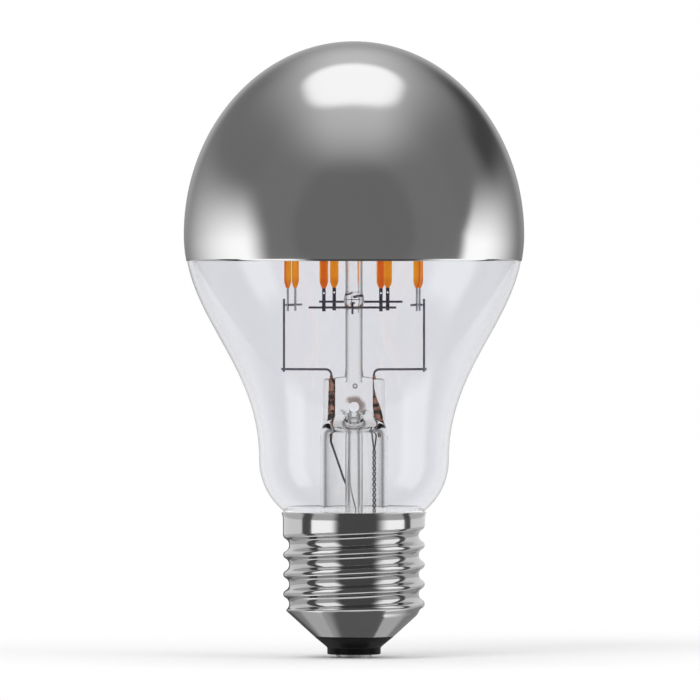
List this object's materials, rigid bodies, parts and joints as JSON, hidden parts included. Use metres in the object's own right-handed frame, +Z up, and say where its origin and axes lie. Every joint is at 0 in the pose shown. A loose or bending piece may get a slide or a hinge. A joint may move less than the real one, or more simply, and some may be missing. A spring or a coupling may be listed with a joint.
{
  "type": "silver crown bulb",
  "caption": "Clear glass LED filament bulb with a mirrored crown over its dome, a ring of orange filaments on a glass stem, and a screw cap.",
  "frame": {"origin": "middle of the contact's lower face, on the bulb's axis", "axes": "+Z up the bulb's axis from the contact to the crown; -Y is the front, +X to the right seen from the front"},
  "size_m": [0.063, 0.063, 0.114],
  "materials": {
    "clear_glass": "clear blown glass",
    "crown_mirror": "silver mirror coat",
    "stem_glass": "clear pressed glass",
    "filament_phosphor": "orange phosphor in silicone",
    "filament_tab": "plain metal strip",
    "nickel_wire": "drawn nickel wire",
    "seal_copper": "copper-clad wire",
    "cap_metal": "bright plated sheet",
    "cap_insulator": "black glassy insulator",
    "contact_metal": "tinned disc",
    "cement": "basing cement",
    "circuit_board": "fibre board",
    "chip_body": "moulded package",
    "capacitor_can": "sleeved can",
    "resistor_body": "lacquered body"
  },
  "bodies": {
    "root": {"back_link_bar": "nickel_wire", "back_support": "nickel_wire", "basing_cement": "cement", "bridge_rectifier": "chip_body", "cap_insulator": "cap_insulator", "cap_shell": "cap_metal", "centre_contact": "contact_metal", "driver_board": "circuit_board", "driver_chip": "chip_body", "exhaust_tube": "stem_glass", "filament_1": "filament_phosphor", "filament_2": "filament_phosphor", "filament_3": "filament_phosphor", "filament_4": "filament_phosphor", "filament_5": "filament_phosphor", "filament_6": "filament_phosphor", "filament_7": "filament_phosphor", "filament_8": "filament_phosphor", "filament_tabs_1": "filament_tab", "filament_tabs_2": "filament_tab", "filament_tabs_3": "filament_tab", "filament_tabs_4": "filament_tab", "filament_tabs_5": "filament_tab", "filament_tabs_6": "filament_tab", "filament_tabs_7": "filament_tab", "filament_tabs_8": "filament_tab", "front_link_bar": "nickel_wire", "front_support": "nickel_wire", "fusible_resistor": "resistor_body", "glass_envelope": "clear_glass", "glass_pillar": "stem_glass", "left_arm": "nickel_wire", "left_feed_bar": "nickel_wire", "left_lead": "nickel_wire", "left_riser": "nickel_wire", "left_seal_wire": "seal_copper", "live_wire": "nickel_wire", "mirror_crown": "crown_mirror", "neutral_wire": "nickel_wire", "right_arm": "nickel_wire", "right_feed_bar": "nickel_wire", "right_lead": "nickel_wire", "right_riser": "nickel_wire", "right_seal_wire": "seal_copper", "smoothing_capacitor": "capacitor_can", "stem_flare": "stem_glass", "top_link_back_left": "nickel_wire", "top_link_back_right": "nickel_wire", "top_link_front_left": "nickel_wire", "top_link_front_right": "nickel_wire"}
  },
  "joints": []
}
